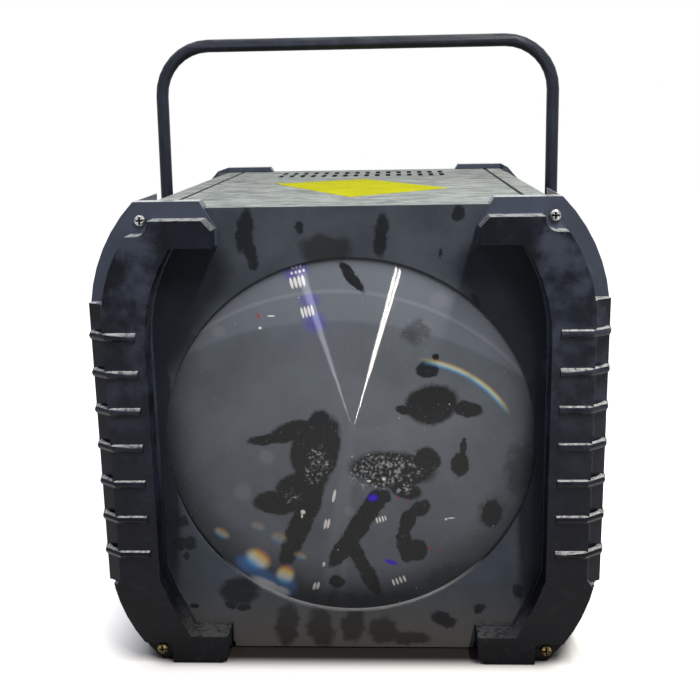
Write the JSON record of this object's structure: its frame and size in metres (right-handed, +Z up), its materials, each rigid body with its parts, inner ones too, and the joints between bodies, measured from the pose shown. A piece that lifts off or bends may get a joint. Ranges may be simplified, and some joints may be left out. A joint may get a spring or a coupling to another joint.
{
  "type": "led effect light",
  "caption": "Box-shaped LED effect light with a round domed lens, ribbed corner bumpers, a tilting rod handle, and a fan and sockets on the rear panel.",
  "frame": {"origin": "centre of the bounding box at the level of the feet", "axes": "+Z up, the lens faces -Y, +X to the right as seen from the front"},
  "size_m": [0.2866, 0.3686, 0.3603],
  "materials": {
    "painted_steel": "fine satin black paint, dusty",
    "moulded_plastic": "fine grained moulding",
    "black_plastic": "satin",
    "handle_paint": "semi gloss paint",
    "zinc_steel": "zinc plated",
    "washer_rubber": "matte",
    "clear_acrylic": "glossy, finely grooved",
    "circuit_board": "green solder resist",
    "bare_aluminium": "mill finish",
    "core_steel": "varnished laminations",
    "cable_jacket": "matte",
    "red_film": "glossy",
    "glass_tube": "clear"
  },
  "bodies": {
    "body": {"body_shell": "painted_steel", "bumper_front_left": "moulded_plastic", "bumper_front_right": "moulded_plastic", "bumper_rear_left": "moulded_plastic", "bumper_rear_right": "moulded_plastic", "bumper_screw_front_left_low": "zinc_steel", "bumper_screw_front_left_top": "zinc_steel", "bumper_screw_front_right_low": "zinc_steel", "bumper_screw_front_right_top": "zinc_steel", "bumper_screw_rear_left_low": "zinc_steel", "bumper_screw_rear_left_top": "zinc_steel", "bumper_screw_rear_right_low": "zinc_steel", "bumper_screw_rear_right_top": "zinc_steel", "clamp_nut_left": "zinc_steel", "clamp_nut_right": "zinc_steel", "control_board": "circuit_board", "data_in_socket": "black_plastic", "data_out_socket": "black_plastic", "display_window": "red_film", "fan_frame": "black_plastic", "fan_guard": "painted_steel", "fan_screw_1": "zinc_steel", "fan_screw_2": "zinc_steel", "fan_screw_3": "zinc_steel", "fan_screw_4": "zinc_steel", "front_panel": "painted_steel", "fuse": "glass_tube", "fuse_holder": "black_plastic", "handle_washer_left": "washer_rubber", "handle_washer_right": "washer_rubber", "heatsink": "bare_aluminium", "led_board": "circuit_board", "led_bracket": "bare_aluminium", "led_lead": "cable_jacket", "lens": "clear_acrylic", "lens_clip_1": "zinc_steel", "lens_clip_2": "zinc_steel", "lens_clip_3": "zinc_steel", "lens_clip_4": "zinc_steel", "lens_screw_1": "zinc_steel", "lens_screw_2": "zinc_steel", "lens_screw_3": "zinc_steel", "lens_screw_4": "zinc_steel", "mains_inlet": "black_plastic", "mains_lead": "cable_jacket", "power_board": "circuit_board", "rear_panel": "painted_steel", "top_panel": "painted_steel", "transformer": "core_steel"},
    "handle": {"handle": "handle_paint"},
    "clamp_knob_left": {"clamp_knob_left": "black_plastic", "clamp_stud_left": "zinc_steel"},
    "clamp_knob_right": {"clamp_knob_right": "black_plastic", "clamp_stud_right": "zinc_steel"},
    "fan_rotor": {"fan_rotor": "black_plastic"},
    "fuse_cap": {"fuse_cap": "black_plastic"},
    "menu_button_1": {"menu_button_1": "black_plastic"},
    "menu_button_2": {"menu_button_2": "black_plastic"},
    "menu_button_3": {"menu_button_3": "black_plastic"},
    "menu_button_4": {"menu_button_4": "black_plastic"}
  },
  "joints": [
    {"name": "handle_tilt", "type": "hinge", "parent": "body", "child": "handle", "pos_m": [0, 0, 0.1328], "axis": [1, 0, 0], "range_deg": [-37, 43]},
    {"name": "knob_left_turn", "type": "hinge", "parent": "body", "child": "clamp_knob_left", "pos_m": [-0.1256, 0, 0.1328], "axis": [-1, 0, 0], "range_deg": [0, 180]},
    {"name": "knob_right_turn", "type": "hinge", "parent": "body", "child": "clamp_knob_right", "pos_m": [0.1256, 0, 0.1328], "axis": [1, 0, 0], "range_deg": [0, 180]},
    {"name": "fan_spin", "type": "hinge", "parent": "body", "child": "fan_rotor", "pos_m": [0, 0.15, 0.13], "axis": [0, 1, 0], "continuous": true},
    {"name": "fuse_cap_turn", "type": "hinge", "parent": "body", "child": "fuse_cap", "pos_m": [0.016, 0.1671, 0.05], "axis": [0, 1, 0], "range_deg": [0, 60]},
    {"name": "menu_press_1", "type": "slide", "parent": "body", "child": "menu_button_1", "axis": [0, -1, 0], "range_m": [0, 0.001], "stiffness_N_per_m": 600},
    {"name": "menu_press_2", "type": "slide", "parent": "body", "child": "menu_button_2", "axis": [0, -1, 0], "range_m": [0, 0.001], "stiffness_N_per_m": 600},
    {"name": "menu_press_3", "type": "slide", "parent": "body", "child": "menu_button_3", "axis": [0, -1, 0], "range_m": [0, 0.001], "stiffness_N_per_m": 600},
    {"name": "menu_press_4", "type": "slide", "parent": "body", "child": "menu_button_4", "axis": [0, -1, 0], "range_m": [0, 0.001], "stiffness_N_per_m": 600}
  ]
}
